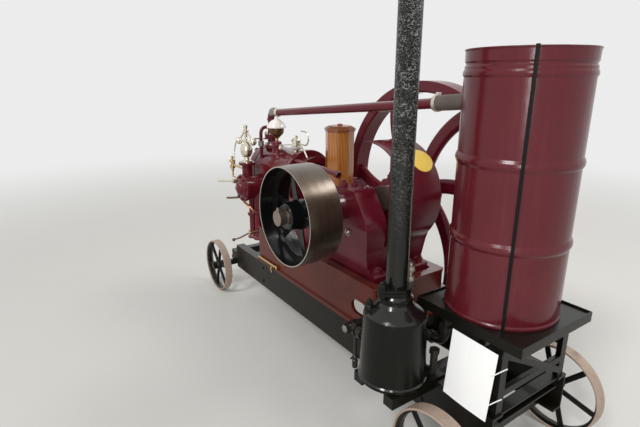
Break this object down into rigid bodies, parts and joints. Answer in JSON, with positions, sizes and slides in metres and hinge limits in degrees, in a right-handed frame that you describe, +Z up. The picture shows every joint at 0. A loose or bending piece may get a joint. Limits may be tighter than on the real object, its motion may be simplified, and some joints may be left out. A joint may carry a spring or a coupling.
{
  "type": "stationary oil engine on a wheeled trolley",
  "caption": "Horizontal open-crank oil engine with flywheel, belt pulley, cooling drum and silencer stack, mounted on a wheeled iron trolley.",
  "frame": {"origin": "on the ground under the middle of the part's box", "axes": "+X along the trolley toward the cooling drum, +Y across it toward the flywheel, +Z up"},
  "size_m": [2.884, 1.12, 2.3],
  "materials": {
    "maroon": "gloss maroon enamel",
    "bed": "darker maroon paint, slightly worn",
    "black": "gloss black paint over pitted iron",
    "rim": "pale rust on a bare iron tyre",
    "dark_steel": "oily turned steel",
    "bare_steel": "browned bare steel",
    "bright": "polished bright steel",
    "brass": "polished brass",
    "enamel": "white vitreous enamel",
    "clamp": "pale zinc",
    "hose": "dusty brown rubber",
    "pipe": "rust-brown iron pipe",
    "wood": "varnished hardwood staves",
    "lid_wood": "dark varnished wood",
    "card": "white laminated card and nylon ties",
    "yellow": "yellow enamel on the guard's disc",
    "copper": "drawn copper pipe"
  },
  "bodies": {
    "trolley": {"chassis_rails": "black", "cross_members": "black", "front_carrier": "black", "front_axle": "black", "rear_axle": "black", "engine_bed": "bed", "crank_pedestals": "maroon", "bearing_caps": "maroon", "trunk": "maroon", "crank_guard": "maroon", "cylinder_jacket": "maroon", "cylinder_head": "maroon", "valve_chest": "maroon", "governor": "bright", "intake_pipe": "maroon", "fuel_fittings": "brass", "regulator_lever": "bright", "lubricator": "bright", "enamel_cap": "enamel", "cap_stem": "brass", "water_riser": "maroon", "return_pipe": "maroon", "hose_clamp": "clamp", "water_hose": "hose", "feed_pipe": "pipe", "cooling_drum": "maroon", "drum_strap": "black", "drum_tray": "black", "drum_stand": "black", "lagged_tank": "wood", "tank_lid": "lid_wood", "silencer_pot": "black", "exhaust_stack": "black", "exhaust_pipe": "pipe", "pot_bracket": "black"},
    "crank": {"crankshaft": "dark_steel", "flywheel": "maroon", "belt_pulley": "bare_steel"},
    "front_near_wheel": {"front_near_tyre": "rim", "front_near_spider": "black"},
    "front_far_wheel": {"front_far_tyre": "rim", "front_far_spider": "black"},
    "rear_near_wheel": {"rear_near_tyre": "rim", "rear_near_spider": "black"},
    "rear_far_wheel": {"rear_far_tyre": "rim", "rear_far_spider": "black"}
  },
  "joints": [
    {"name": "crank_spin", "type": "hinge", "parent": "trolley", "child": "crank", "pos_m": [0.336, 0.077, 1.057], "axis": [0, 1, 0], "continuous": true},
    {"name": "front_near_wheel_roll", "type": "hinge", "parent": "trolley", "child": "front_near_wheel", "pos_m": [-1.235, -0.2585, 0.207], "axis": [0, 1, 0], "continuous": true},
    {"name": "front_far_wheel_roll", "type": "hinge", "parent": "trolley", "child": "front_far_wheel", "pos_m": [-1.235, 0.4125, 0.207], "axis": [0, 1, 0], "continuous": true},
    {"name": "rear_near_wheel_roll", "type": "hinge", "parent": "trolley", "child": "rear_near_wheel", "pos_m": [1.217, -0.3495, 0.225], "axis": [0, 1, 0], "continuous": true},
    {"name": "rear_far_wheel_roll", "type": "hinge", "parent": "trolley", "child": "rear_far_wheel", "pos_m": [1.217, 0.5035, 0.225], "axis": [0, 1, 0], "continuous": true}
  ]
}
